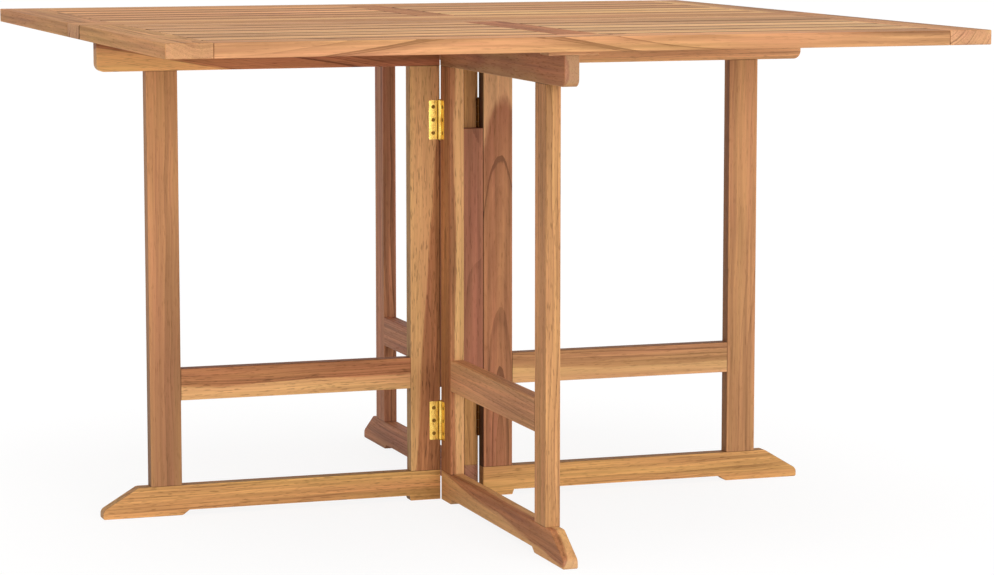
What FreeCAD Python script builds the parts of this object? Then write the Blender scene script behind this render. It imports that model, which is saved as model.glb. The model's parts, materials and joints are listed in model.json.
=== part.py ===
# Folding garden table: a fixed core of two frames under a spine board, two hinged leaves and two
# hinged gates that swing out to carry them.  +X runs along the spine, +Z is up, and the origin is on
# the floor under the middle of the top.
import FreeCAD, Part
import os
import re
import Sketcher

# Driving sizes in millimetres.  Each one becomes a named cell of the sheet.
SIZES = {
    # Top: a spine board between two leaves
    "Height": 745,
    "TopLength": 1200,
    "TopDepth": 1200,
    "TopThick": 21,
    "SpineWidth": 86,
    "LeafGap": 3,
    "StileWidth": 65,
    "MiddleWidth": 60,
    "LeafRailWidth": 65,
    "SlatGap": 7,
    "TopRound": 1.5,
    "TopTenonLength": 14,
    "TopTenonThick": 7,
    "TopTenonShoulder": 10,
    # Frames: leg, post, top rail, stretcher and foot rail of one thickness
    "FrameThick": 22,
    "LegWidth": 48,
    "PostWidth": 48,
    "PostGap": 70,
    "RailInset": 32,
    "RailOverhang": 74,
    "RailHeight": 50,
    "RailNose": 12,
    "StretcherBottom": 176,
    "StretcherHeight": 48,
    "FrameRound": 1.5,
    "FrameTenonLength": 24,
    "FrameTenonThick": 8,
    "FrameTenonShoulder": 10,
    # Foot rails: a sloped nose, and pads left by the relieved underside
    "FootHeight": 46,
    "NoseFlat": 19,
    "NoseTip": 13,
    "NoseRound": 10,
    "TipRound": 3,
    "PadDepth": 8,
    "PadReach": 123,
    "PadRamp": 3,
    "HeelRamp": 11,
    "HeelRound": 8,
    # Spacer board between the posts, with dowels
    "SpacerHeight": 400,
    "DowelRadius": 4,
    "DowelLength": 40,
    "DowelInset": 60,
    "DowelScrewPitch": 12,
    # Gate hinges
    "HingeGap": 0.8,
    "FlapSink": 1,
    "HingeHeight": 60,
    "UpperHingeInset": 83,
    "LowerHingeInset": 78,
    "KnuckleRadius": 3.3,
    "PinRadius": 1.5,
    # Leaf hinges
    "LeafHingeInset": 200,
    "LeafKnuckle": 2.6,
    "LeafPin": 1.2,
    # Both kinds of hinge
    "FlapThick": 1.2,
    "FlapWidth": 18,
    "FlapCorner": 2,
    "PinHead": 1.4,
    "ScrewLine": 11,
    "ScrewPitch": 20,
    "ScrewHead": 3,
    "ScrewShank": 1.6,
    "ScrewLength": 14,
    "CrossWidth": 0.8,
    "CrossDepth": 0.5,
    # Keeper pads under the leaves
    "KeeperLength": 72,
    "KeeperDepth": 38,
    "KeeperOverhang": 7,
    "KeeperScrewInset": 12,
    "KeeperScrewLength": 18,
    "KeeperScrewSink": 2,
    # Screws and plugs that hold the spine on the core's rails
    "SpineFixOffset": 37,
    "SpineScrewHead": 4.4,
    "SpineScrewShank": 2.2,
    "SpineScrewSink": 4,
    "SpineScrewLength": 45,
    "PlugRadius": 5,
    "PlugDepth": 7,
    # Clearances
    "FitGap": 0.05,
    "MortiseRelief": 0.5,
    "KnuckleClear": 0.2,
    "KnuckleNotch": 0.8,
    "RestGap": 0.3,
    "SwingGap": 0.4,
}

SLAT_COUNT = 5
KNUCKLE_COUNT = 5
HINGE_SCREWS = (-1, 0, 1)
DOWEL_STEPS = (0, 0.5, 1)

# Heights and places worked out from the sizes
UNDERSIDE = "(Height - TopThick)"
RAIL_BOTTOM = f"({UNDERSIDE} - RailHeight)"
UPPER_HINGE = f"({RAIL_BOTTOM} - UpperHingeInset)"
LOWER_HINGE = "(FootHeight + LowerHingeInset)"
HINGE_HEIGHTS = (UPPER_HINGE, LOWER_HINGE)
RECESS_RADIUS = "(KnuckleRadius + KnuckleClear)"
RECESS_HEIGHT = "(HingeHeight + 2*PinHead + 4*KnuckleClear)"
LEAF_EDGE = "(SpineWidth/2 + LeafGap)"
LEAF_DEPTH = f"(TopDepth/2 - {LEAF_EDGE})"
SLAT_SPACE = f"({LEAF_DEPTH} - 2*LeafRailWidth)"
SLAT_WIDTH = f"(({SLAT_SPACE} - {SLAT_COUNT + 1}*SlatGap)/{SLAT_COUNT})"
BAY_END = "(TopLength/2 - StileWidth)"
BAY_LENGTH = f"({BAY_END} - MiddleWidth/2)"
TOP_TENON_LOW = f"({UNDERSIDE} + TopThick/2 - TopTenonThick/2)"
LEAF_AXIS_OUT = "(SpineWidth/2 + LeafGap/2)"
LEAF_AXIS_DROP = "(LeafKnuckle + KnuckleClear)"
LEAF_AXIS_HEIGHT = f"({UNDERSIDE} - {LEAF_AXIS_DROP})"
LEAF_HINGE_END = "(TopLength/2 - LeafHingeInset)"
LEAF_HINGE_PLACES = (f"-{LEAF_HINGE_END}", "0", LEAF_HINGE_END)
GATE_DROP = "(2*LeafKnuckle + KnuckleClear + SwingGap)"
GATE_CENTRE = "(PostGap/2 - HingeGap - FrameThick/2)"
GATE_REACH = "(TopDepth/2 - RailInset)"
SPACER_THICK = "(FrameThick + 2*HingeGap - 2*RestGap)"
KEEPER_THICK = f"({GATE_DROP} - RestGap)"
KEEPER_FRONT = f"({GATE_REACH} + KeeperOverhang)"
PLUG_BOTTOM = "(Height - PlugDepth)"
POST_PIN_ALONG = "(PostGap/2 - HingeGap/2)"
PIN_OUT = "(FrameThick/2 + HingeGap/2)"

X = FreeCAD.Vector(1, 0, 0)
Y = FreeCAD.Vector(0, 1, 0)
Z = FreeCAD.Vector(0, 0, 1)

doc = FreeCAD.newDocument("GardenTable")
subparts = []


def make_sheet():
    """Keep every driving size in a sheet cell that carries its name."""
    sheet = doc.addObject("Spreadsheet::Sheet", "Dims")
    for row, (name, value) in enumerate(SIZES.items(), 1):
        sheet.set(f"A{row}", name)
        sheet.set(f"B{row}", str(value))
        sheet.setAlias(f"B{row}", name)
    doc.recompute()


def formula(text):
    """Point each size named in a formula at its cell."""
    return re.sub(r"\b[A-Z]\w+", lambda name: "Dims." + name.group(), text)


def bind(thing, **formulas):
    for name, text in formulas.items():
        thing.setExpression(name, formula(text))


def put(thing, spot, turn=FreeCAD.Rotation()):
    """Place a thing at a spot of three formulas, turned as given."""
    thing.Placement = FreeCAD.Placement(FreeCAD.Vector(), turn)
    for axis, text in zip("xyz", spot):
        thing.setExpression(f"Placement.Base.{axis}", formula(text))


def about_z(angle):
    return FreeCAD.Rotation(Z, angle)


def turned(angle, along, across):
    """Formulas for X and Y of a point along and across a frame that is turned about Z."""
    spots = {
        0: (along, across),
        180: (f"-({along})", f"-({across})"),
        -90: (across, f"-({along})"),
        90: (f"-({across})", along),
    }
    return spots[angle]


def new_body(name):
    return doc.addObject("PartDesign::Body", name)


def subpart(thing, label):
    """Give a piece its own name and list it for writing."""
    thing.Label = label
    subparts.append(thing)
    return thing


def block(body, low, span, kind="Additive"):
    box = body.newObject(f"PartDesign::{kind}Box", "Block")
    bind(box, Length=span[0], Width=span[1], Height=span[2])
    put(box, low)
    return box


def mortise(body, low, span):
    return block(body, low, span, "Subtractive")


def rod(body, start, axis, radius, length, kind="Additive"):
    cylinder = body.newObject(f"PartDesign::{kind}Cylinder", "Rod")
    bind(cylinder, Radius=radius, Height=length)
    put(cylinder, start, FreeCAD.Rotation(Z, axis))
    return cylinder


def hole(body, start, axis, radius, length):
    return rod(body, start, axis, radius, length, "Subtractive")


def clearance(body, start, axis, radius, length):
    """Room for a neighbour, which may miss the piece when a size is changed."""
    room = hole(body, start, axis, radius, length)
    room.Label = f"Clearance of {room.Name}"


def cone(body, start, axis, radii, length, kind="Additive"):
    taper = body.newObject(f"PartDesign::{kind}Cone", "Taper")
    bind(taper, Radius1=radii[0], Radius2=radii[1], Height=length)
    put(taper, start, FreeCAD.Rotation(Z, axis))
    return taper


def edges_where(feature, wanted):
    """Names of a feature's edges whose two ends pass a test."""
    doc.recompute()
    names = []
    for number, edge in enumerate(feature.Shape.Edges, 1):
        if wanted(edge.Vertexes[0].Point, edge.Vertexes[-1].Point):
            names.append(f"Edge{number}")
    return names


def round_edges(body, feature, names, radius):
    fillet = body.newObject("PartDesign::Fillet", "Rounding")
    fillet.Base = (feature, names)
    bind(fillet, Radius=radius)
    return fillet


def runs_along(axis):
    """A test for straight edges that lie along an axis."""
    return lambda start, end: (end - start).Length - abs((end - start).dot(axis)) < 1e-6


def every_edge(start, end):
    return True


def board(label, low, span, radius, rounded, angle=0):
    """A plain board with rounded edges, ready for its tenons and mortises."""
    body = subpart(new_body(label), label)
    put(body, ("0", "0", "0"), about_z(angle))
    blank = block(body, low, span)
    round_edges(body, blank, edges_where(blank, rounded), radius)
    return body


def group(label, pieces):
    """Several equal pieces under one name, each a solid of its own."""
    compound = doc.addObject("Part::Compound", label)
    compound.Links = pieces
    return subpart(compound, label)


def copy_of(master, spot, turn):
    link = doc.addObject("App::Link", f"{master.Name}Copy")
    link.LinkedObject = master
    put(link, spot, turn)
    return link


class Frame:
    """One standing frame, laid out along and across a line through the middle of the table."""

    def __init__(self, name, angle, inner, centre, reach, rail_top):
        self.name = name
        self.angle = angle
        self.inner = inner
        self.front = f"({centre} - FrameThick/2)"
        self.tenon_front = f"({centre} - FrameTenonThick/2)"
        self.mortise_front = f"({centre} - FrameTenonThick/2 - FitGap)"
        self.centre = centre
        self.reach = reach
        self.rail_top = rail_top
        self.post_out = f"({inner} + PostWidth)"
        self.leg_out = f"({reach} - RailOverhang)"
        self.leg_in = f"({self.leg_out} - LegWidth)"


CORE_FRAMES = [
    Frame(name, angle, "(PostGap/2)", "0", "(TopLength/2 - RailInset)", UNDERSIDE)
    for name, angle in (("left", 180), ("right", 0))
]
GATES = [
    Frame(name, angle, "(FrameThick/2 + HingeGap)", f"(-{GATE_CENTRE})", GATE_REACH,
          f"({UNDERSIDE} - {GATE_DROP})")
    for name, angle in (("front_gate", -90), ("back_gate", 90))
]


def upright_mortise(body, frame, start, width, low):
    """The slot in a rail for the tenon of an upright that starts at a place along the frame."""
    spot = (f"{start} + FrameTenonShoulder - FitGap", frame.mortise_front, low)
    span = (f"{width} - 2*FrameTenonShoulder + 2*FitGap", "FrameTenonThick + 2*FitGap",
            "FrameTenonLength + MortiseRelief")
    return mortise(body, spot, span)


def stretcher_mortise(body, frame, start):
    spot = (start, frame.mortise_front, "StretcherBottom + FrameTenonShoulder - FitGap")
    span = ("FrameTenonLength + MortiseRelief", "FrameTenonThick + 2*FitGap",
            "StretcherHeight - 2*FrameTenonShoulder + 2*FitGap")
    return mortise(body, spot, span)


def make_top_rail(frame):
    """A rail over the leg and the post, with its outer lower corner rounded off."""
    body = subpart(new_body(f"{frame.name}_top_rail"), f"{frame.name}_top_rail")
    put(body, ("0", "0", "0"), about_z(frame.angle))
    blank = block(body, (frame.inner, frame.front, RAIL_BOTTOM),
                  (f"{frame.reach} - {frame.inner}", "FrameThick", f"{frame.rail_top} - {RAIL_BOTTOM}"))
    across = runs_along(Y)
    doc.recompute()
    box = blank.Shape.BoundBox
    corner = edges_where(blank, lambda a, b: across(a, b) and a.x > box.Center.x and a.z < box.Center.z)
    nosed = round_edges(body, blank, corner, "RailNose")
    along = runs_along(X)
    round_edges(body, nosed, edges_where(nosed, along), "FrameRound")
    for start, width in ((frame.inner, "PostWidth"), (frame.leg_in, "LegWidth")):
        upright_mortise(body, frame, start, width, RAIL_BOTTOM)
    return body


def make_upright(label, frame, start, width):
    """A leg or post between the foot rail and the top rail, with a tenon at each end."""
    span = (width, "FrameThick", f"{RAIL_BOTTOM} - FootHeight")
    body = board(label, (start, frame.front, "FootHeight"), span, "FrameRound", runs_along(Z), frame.angle)
    for low in ("FootHeight - FrameTenonLength", RAIL_BOTTOM):
        block(body, (f"{start} + FrameTenonShoulder", frame.tenon_front, low),
              (f"{width} - 2*FrameTenonShoulder", "FrameTenonThick", "FrameTenonLength"))
    return body


def make_leg(frame):
    body = make_upright(f"{frame.name}_leg", frame, frame.leg_in, "LegWidth")
    stretcher_mortise(body, frame, frame.leg_in)


def make_post(frame, pin_along, pin_across, face, inward):
    """The inner post, with room for its hinges, screw holes and the stretcher's mortise."""
    body = make_upright(f"{frame.name}_post", frame, frame.inner, "PostWidth")
    stretcher_mortise(body, frame, f"{frame.post_out} - FrameTenonLength - MortiseRelief")
    for height in HINGE_HEIGHTS:
        recess_foot = (pin_along, pin_across, f"{height} - {RECESS_HEIGHT}/2")
        clearance(body, recess_foot, Z, RECESS_RADIUS, RECESS_HEIGHT)
        floor = face if inward == Y else f"{face} - FlapSink"
        mortise(body, (pin_along, floor, f"{height} - HingeHeight/2 - FitGap"),
                ("FlapWidth + FitGap", "FlapSink", "HingeHeight + 2*FitGap"))
        for step in HINGE_SCREWS:
            hole(body, (f"{pin_along} + ScrewLine", face, f"{height} + {step}*ScrewPitch"), inward,
                 "ScrewShank + FitGap", "ScrewLength - FlapThick + FlapSink + MortiseRelief")
    return body


def make_stretcher(frame):
    length = f"{frame.leg_in} - {frame.post_out}"
    body = board(f"{frame.name}_stretcher", (frame.post_out, frame.front, "StretcherBottom"),
                 (length, "FrameThick", "StretcherHeight"), "FrameRound", runs_along(X), frame.angle)
    for start in (f"{frame.post_out} - FrameTenonLength", frame.leg_in):
        block(body, (start, frame.tenon_front, "StretcherBottom + FrameTenonShoulder"),
              ("FrameTenonLength", "FrameTenonThick", "StretcherHeight - 2*FrameTenonShoulder"))


def outline(sketch, corners):
    """Draw a closed outline through corners given as pairs of formulas, all held to the origin."""
    count = len(corners)
    for number in range(count):
        start = FreeCAD.Vector(number, number % 2, 0)
        end = FreeCAD.Vector((number + 1) % count, (number + 1) % 2, 0)
        sketch.addGeometry(Part.LineSegment(start, end), False)
    for number in range(count):
        sketch.addConstraint(Sketcher.Constraint("Coincident", number, 2, (number + 1) % count, 1))
    for number, corner in enumerate(corners):
        for kind, text in zip(("DistanceX", "DistanceY"), corner):
            place = sketch.addConstraint(Sketcher.Constraint(kind, -1, 1, number, 1, 1.0))
            sketch.setExpression(f"Constraints[{place}]", formula(text))


def make_foot(frame):
    """A foot rail: flat under the leg and the post, relieved between them, with a sloped nose."""
    body = subpart(new_body(f"{frame.name}_foot"), f"{frame.name}_foot")
    put(body, ("0", "0", "0"), about_z(frame.angle))
    sketch = body.newObject("Sketcher::SketchObject", "Profile")
    plane = [item for item in body.Origin.OriginFeatures if item.Role == "XZ_Plane"][0]
    sketch.AttachmentSupport = (plane, "")
    sketch.MapMode = "FlatFace"
    sketch.setExpression("AttachmentOffset.Base.z", formula(f"-{frame.centre}"))
    outline(sketch, (
        (frame.inner, "0"),
        (frame.inner, "FootHeight"),
        (f"{frame.leg_out} + NoseFlat", "FootHeight"),
        (frame.reach, "NoseTip"),
        (frame.reach, "0"),
        (f"{frame.reach} - PadReach", "0"),
        (f"{frame.reach} - PadReach - HeelRamp", "PadDepth"),
        (f"{frame.post_out} + PadRamp", "PadDepth"),
        (frame.post_out, "0"),
    ))
    pad = body.newObject("PartDesign::Pad", "Rail")
    pad.Profile = sketch
    pad.SideType = "Symmetric"
    bind(pad, Length="FrameThick")
    across = runs_along(Y)
    doc.recompute()
    box = pad.Shape.BoundBox
    leg_out = box.XMax - SIZES["RailOverhang"]
    nose = edges_where(pad, lambda a, b: across(a, b) and a.x > leg_out and a.z > 1e-6)
    nosed = round_edges(body, pad, nose, "NoseRound")
    toe = box.XMax - 1e-3
    heel = edges_where(nosed, lambda a, b: across(a, b) and a.z < 1e-6 and box.Center.x < a.x < toe)
    heeled = round_edges(body, nosed, heel, "HeelRound")
    tip = edges_where(heeled, lambda a, b: across(a, b) and a.z < 1e-6 and a.x > toe)
    tipped = round_edges(body, heeled, tip, "TipRound")
    top = box.ZMax - 1e-3
    flank = edges_where(tipped, lambda a, b: abs(a.y - b.y) < 1e-6 and max(a.z, b.z) > top)
    round_edges(body, tipped, flank, "FrameRound")
    for start, width in ((frame.inner, "PostWidth"), (frame.leg_in, "LegWidth")):
        upright_mortise(body, frame, start, width, "FootHeight - FrameTenonLength - MortiseRelief")


def make_core_frame(frame):
    rail = make_top_rail(frame)
    for along in (f"{frame.post_out} + SpineFixOffset", f"{frame.leg_in} - SpineFixOffset"):
        hole(rail, (along, "0", UNDERSIDE), -Z, "SpineScrewShank + FitGap",
             "SpineScrewLength - TopThick + PlugDepth + MortiseRelief")
    make_leg(frame)
    post = make_post(frame, POST_PIN_ALONG, PIN_OUT, "FrameThick/2", -Y)
    for height in dowel_heights():
        hole(post, (frame.inner, "0", height), X, "DowelRadius + FitGap", "DowelLength/2 + MortiseRelief")
    make_stretcher(frame)
    make_foot(frame)


def make_gate(frame):
    make_top_rail(frame)
    make_leg(frame)
    make_post(frame, PIN_OUT, f"-{GATE_CENTRE} - {PIN_OUT}", frame.front, Y)
    make_stretcher(frame)
    make_foot(frame)


def dowel_heights():
    """Heights of a post's dowels, set in from the spacer's ends and kept off the hinge screws."""
    room = "(ScrewPitch + DowelScrewPitch)"
    low = f"max(StretcherBottom + DowelInset; {LOWER_HINGE} + {room})"
    high = f"min(StretcherBottom + SpacerHeight - DowelInset; {UPPER_HINGE} - {room})"
    return [f"{low} + {step}*({high} - {low})" for step in DOWEL_STEPS]


def make_spacer():
    """The board that joins the two posts and stops each gate when it stands square."""
    body = board("spacer_board", ("-PostGap/2", f"-{SPACER_THICK}/2", "StretcherBottom"),
                 ("PostGap", SPACER_THICK, "SpacerHeight"), "FrameRound", runs_along(Z))
    dowel = new_body("Dowel")
    rod(dowel, ("0", "0", "-DowelLength/2"), Z, "DowelRadius", "DowelLength")
    dowels = []
    for side, inward in ((-1, X), (1, -X)):
        edge = f"{side}*PostGap/2"
        for height in dowel_heights():
            hole(body, (edge, "0", height), inward, "DowelRadius + FitGap", "DowelLength/2 + MortiseRelief")
            dowels.append(copy_of(dowel, (edge, "0", height), FreeCAD.Rotation(Z, X)))
        for height in HINGE_HEIGHTS:
            recess_foot = (f"{side}*{POST_PIN_ALONG}", f"{side}*{PIN_OUT}", f"{height} - {RECESS_HEIGHT}/2")
            clearance(body, recess_foot, Z, RECESS_RADIUS, RECESS_HEIGHT)
    group("spacer_dowels", dowels)


def spine_fix_places():
    frame = CORE_FRAMES[1]
    places = (f"({frame.post_out} + SpineFixOffset)", f"({frame.leg_in} - SpineFixOffset)")
    return [f"{sign}*{place}" for sign in (-1, 1) for place in places]


def make_screw(name, head, shank, sink, length):
    """A countersunk screw with a cross recess, its head's face at the origin and its point downwards."""
    body = new_body(name)
    rod(body, ("0", "0", f"-{length}"), Z, shank, f"{length} - {sink}")
    cone(body, ("0", "0", f"-{sink}"), Z, (shank, head), sink)
    for long_side, short_side in ((head, "CrossWidth"), ("CrossWidth", head)):
        low = (f"-{long_side}/2", f"-{short_side}/2", "-CrossDepth")
        mortise(body, low, (long_side, short_side, "CrossDepth"))
    return body


def make_spine():
    """The fixed middle board, screwed down through plugged holes."""
    body = board("spine_board", ("-TopLength/2", "-SpineWidth/2", UNDERSIDE),
                 ("TopLength", "SpineWidth", "TopThick"), "TopRound", every_edge)
    screw = make_screw("SpineScrew", "SpineScrewHead", "SpineScrewShank", "SpineScrewSink",
                       "SpineScrewLength")
    plug = new_body("Plug")
    rod(plug, ("0", "0", "0"), Z, "PlugRadius", "PlugDepth")
    screws = []
    plugs = []
    for place in spine_fix_places():
        hole(body, (place, "0", PLUG_BOTTOM), Z, "PlugRadius + FitGap", "PlugDepth")
        cone(body, (place, "0", f"{PLUG_BOTTOM} - SpineScrewSink"), Z,
             ("SpineScrewShank + FitGap", "SpineScrewHead + FitGap"), "SpineScrewSink", "Subtractive")
        hole(body, (place, "0", UNDERSIDE), Z, "SpineScrewShank + FitGap", "TopThick - PlugDepth")
        screws.append(copy_of(screw, (place, "0", PLUG_BOTTOM), FreeCAD.Rotation()))
        plugs.append(copy_of(plug, (place, "0", PLUG_BOTTOM), FreeCAD.Rotation()))
    for side in (-1, 1):
        flap_screw_holes(body, f"{side}*({LEAF_AXIS_OUT} - ScrewLine)")
    group("spine_screws", screws)
    group("spine_plugs", plugs)


def flap_screw_holes(body, across):
    """Screw holes up into a board's underside for its row of leaf hinges."""
    for place in LEAF_HINGE_PLACES:
        for step in HINGE_SCREWS:
            hole(body, (f"{place} + {step}*ScrewPitch", across, UNDERSIDE), Z, "ScrewShank + FitGap",
                 "ScrewLength - FlapThick + MortiseRelief")


def slat_low(number):
    """Where a slat's outer edge lies, counted from the outer rail of the front leaf."""
    return f"(-TopDepth/2 + LeafRailWidth + SlatGap + {number}*({SLAT_WIDTH} + SlatGap))"


def slat_mortises(body, start):
    for number in range(SLAT_COUNT):
        mortise(body, (start, f"{slat_low(number)} + TopTenonShoulder - FitGap", f"{TOP_TENON_LOW} - FitGap"),
                ("TopTenonLength + MortiseRelief", f"{SLAT_WIDTH} - 2*TopTenonShoulder + 2*FitGap",
                 "TopTenonThick + 2*FitGap"))


def end_tenons(body, starts, low, width):
    """Tenons on the ends of a board that runs along X."""
    for start in starts:
        block(body, (start, f"{low} + TopTenonShoulder", TOP_TENON_LOW),
              ("TopTenonLength", f"{width} - 2*TopTenonShoulder", "TopTenonThick"))


def make_slat(label, number, start, angle):
    body = new_body(label)
    put(body, ("0", "0", "0"), about_z(angle))
    low = slat_low(number)
    blank = block(body, (start, low, UNDERSIDE), (BAY_LENGTH, SLAT_WIDTH, "TopThick"))
    round_edges(body, blank, edges_where(blank, every_edge), "TopRound")
    end_tenons(body, (f"{start} - TopTenonLength", f"{start} + {BAY_LENGTH}"), low, SLAT_WIDTH)
    return body


def side_names(angle):
    """The names of a leaf's -X and +X sides before it is turned, as seen from the front of the table."""
    return ("left", "right") if angle == 0 else ("right", "left")


def make_leaf_stiles(leaf, angle):
    """The two end stiles and the middle stile, mortised for the rails and the slats."""
    rail_lows = ("(-TopDepth/2)", f"(-{LEAF_EDGE} - LeafRailWidth)")
    ends = (("-TopLength/2", f"-{BAY_END} - TopTenonLength - MortiseRelief"), (BAY_END, BAY_END))
    for name, (start, slot) in zip(side_names(angle), ends):
        body = board(f"{leaf}_{name}_stile", (start, "-TopDepth/2", UNDERSIDE),
                     ("StileWidth", LEAF_DEPTH, "TopThick"), "TopRound", every_edge, angle)
        slat_mortises(body, slot)
        for low in rail_lows:
            mortise(body, (slot, f"{low} + TopTenonShoulder - FitGap", f"{TOP_TENON_LOW} - FitGap"),
                    ("TopTenonLength + MortiseRelief", "LeafRailWidth - 2*TopTenonShoulder + 2*FitGap",
                     "TopTenonThick + 2*FitGap"))
    low = "-TopDepth/2 + LeafRailWidth"
    body = board(f"{leaf}_middle_stile", ("-MiddleWidth/2", low, UNDERSIDE),
                 ("MiddleWidth", SLAT_SPACE, "TopThick"), "TopRound", every_edge, angle)
    for start in (f"{low} - TopTenonLength", f"-{LEAF_EDGE} - LeafRailWidth"):
        block(body, ("-MiddleWidth/2 + TopTenonShoulder", start, TOP_TENON_LOW),
              ("MiddleWidth - 2*TopTenonShoulder", "TopTenonLength", "TopTenonThick"))
    for slot in ("-MiddleWidth/2", "MiddleWidth/2 - TopTenonLength - MortiseRelief"):
        slat_mortises(body, slot)


def make_leaf_rails(leaf, angle):
    """The outer rail and the inner rail, with a mortise for the middle stile in each."""
    slot_depth = "TopTenonLength + MortiseRelief"
    rails = {
        "outer_rail": ("-TopDepth/2", "-TopDepth/2 + LeafRailWidth - TopTenonLength - MortiseRelief"),
        "inner_rail": (f"(-{LEAF_EDGE} - LeafRailWidth)", f"-{LEAF_EDGE} - LeafRailWidth"),
    }
    bodies = {}
    for name, (low, slot) in rails.items():
        body = board(f"{leaf}_{name}", (f"-{BAY_END}", low, UNDERSIDE),
                     (f"2*{BAY_END}", "LeafRailWidth", "TopThick"), "TopRound", every_edge, angle)
        end_tenons(body, (f"-{BAY_END} - TopTenonLength", BAY_END), low, "LeafRailWidth")
        mortise(body, ("-MiddleWidth/2 + TopTenonShoulder - FitGap", slot, f"{TOP_TENON_LOW} - FitGap"),
                ("MiddleWidth - 2*TopTenonShoulder + 2*FitGap", slot_depth, "TopTenonThick + 2*FitGap"))
        bodies[name] = body
    return bodies


def make_keeper(leaf, angle, outer_rail, screw):
    """A pad screwed under the outer rail, which rests on the end of the gate's top rail."""
    low = (f"-{GATE_CENTRE} - KeeperLength/2", f"-{KEEPER_FRONT}", f"{UNDERSIDE} - {KEEPER_THICK}")
    body = board(f"{leaf}_keeper", low, ("KeeperLength", "KeeperDepth", KEEPER_THICK), "TopRound",
                 runs_along(X), angle)
    across = f"(-{KEEPER_FRONT} + KeeperDepth/2)"
    screws = []
    for side in (-1, 1):
        along = f"(-{GATE_CENTRE} + {side}*(KeeperLength/2 - KeeperScrewInset))"
        hole(body, (along, across, low[2]), Z, "ScrewShank + FitGap", KEEPER_THICK)
        cone(body, (along, across, low[2]), Z, ("ScrewHead + FitGap", "ScrewShank + FitGap"),
             "KeeperScrewSink", "Subtractive")
        hole(outer_rail, (along, across, UNDERSIDE), Z, "ScrewShank + FitGap",
             f"KeeperScrewLength - {KEEPER_THICK} + MortiseRelief")
        spot = (*turned(angle, along, across), low[2])
        screws.append(copy_of(screw, spot, FreeCAD.Rotation(Z, -Z)))
    group(f"{leaf}_keeper_screws", screws)


def make_leaf(leaf, angle, keeper_screw):
    make_leaf_stiles(leaf, angle)
    rails = make_leaf_rails(leaf, angle)
    flap_screw_holes(rails["inner_rail"], f"-({LEAF_AXIS_OUT} + ScrewLine)")
    for name, start in zip(side_names(angle), (f"-{BAY_END}", "MiddleWidth/2")):
        slats = [make_slat(f"{leaf}_{name}_slat", number, start, angle) for number in range(SLAT_COUNT)]
        group(f"{leaf}_{name}_slats", slats)
    make_keeper(leaf, angle, rails["outer_rail"], keeper_screw)


def make_flap(name, knuckle, pin, seat, own):
    """A hinge flap along its pin: the plate lies out along X, with the wood on its +Y side."""
    body = new_body(name)
    root = f"{knuckle}*0.75"
    plate = block(body, (root, f"{seat} - FlapThick", "-HingeHeight/2"),
                  (f"FlapWidth - {root}", "FlapThick", "HingeHeight"))
    across = runs_along(Y)
    doc.recompute()
    middle = plate.Shape.BoundBox.Center.x
    corners = edges_where(plate, lambda a, b: across(a, b) and a.x > middle)
    round_edges(body, plate, corners, "FlapCorner")
    pitch = f"(HingeHeight/{KNUCKLE_COUNT})"
    for number in range(KNUCKLE_COUNT):
        low = f"-HingeHeight/2 + {number}*{pitch}"
        if number in own:
            rod(body, ("0", "0", f"{low} + KnuckleClear/2"), Z, knuckle, f"{pitch} - KnuckleClear")
        else:
            clearance(body, ("0", "0", f"{low} - KnuckleClear/2"), Z, f"{knuckle} + KnuckleNotch",
                      f"{pitch} + KnuckleClear")
    hole(body, ("0", "0", "-HingeHeight/2"), Z, f"{pin} + FitGap", "HingeHeight")
    for step in HINGE_SCREWS:
        cone(body, ("ScrewLine", seat, f"{step}*ScrewPitch"), -Y,
             ("ScrewShank + FitGap", "ScrewHead + FitGap"), "FlapThick", "Subtractive")
    return body


def make_pin(name, pin, knuckle):
    """A hinge pin with a button at each end of the knuckles."""
    body = new_body(name)
    rod(body, ("0", "0", "-HingeHeight/2 - KnuckleClear"), Z, pin, "HingeHeight + 2*KnuckleClear")
    for axis, start in ((Z, "HingeHeight/2 + KnuckleClear/2"), (-Z, "-HingeHeight/2 - KnuckleClear/2")):
        cone(body, ("0", "0", start), axis, (f"{knuckle}*0.9", f"{knuckle}*0.55"), "PinHead")
    return body


def make_gate_hinges(screw):
    """Two butt hinges for each gate, let into the post's face and into the gate's side."""
    seat = "(HingeGap/2 + FlapSink)"
    proud = "(FlapThick - FlapSink)"
    post_flap = make_flap("PostFlap", "KnuckleRadius", "PinRadius", seat, (0, 2, 4))
    gate_flap = make_flap("GateFlap", "KnuckleRadius", "PinRadius", seat, (1, 3))
    pin = make_pin("GatePin", "PinRadius", "KnuckleRadius")
    fixed = {"flaps": [], "pins": [], "screws": []}
    for frame in CORE_FRAMES:
        turn = about_z(frame.angle)
        along = turn.multVec(X)
        outward = turn.multVec(Y)
        flap_turn = FreeCAD.Rotation(along, -outward, -Z, "XYZ")
        spot = turned(frame.angle, POST_PIN_ALONG, PIN_OUT)
        face = f"(FrameThick/2 + {proud})"
        for height in HINGE_HEIGHTS:
            fixed["flaps"].append(copy_of(post_flap, (*spot, height), flap_turn))
            fixed["pins"].append(copy_of(pin, (*spot, height), FreeCAD.Rotation()))
            fixed["screws"] += flap_screws(screw, frame, POST_PIN_ALONG, face, height, outward)
    for name, pieces in fixed.items():
        group(f"post_hinge_{name}", pieces)
    for frame in GATES:
        turn = about_z(frame.angle)
        along = turn.multVec(X)
        inward = turn.multVec(Y)
        spot = turned(frame.angle, PIN_OUT, f"(-{GATE_CENTRE} - {PIN_OUT})")
        flaps = []
        screws = []
        for height in HINGE_HEIGHTS:
            flaps.append(copy_of(gate_flap, (*spot, height), FreeCAD.Rotation(along, inward, Z, "XYZ")))
            screws += flap_screws(screw, frame, PIN_OUT, f"({frame.front} - {proud})", height, -inward)
        group(f"{frame.name}_hinge_flaps", flaps)
        group(f"{frame.name}_hinge_screws", screws)


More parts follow.
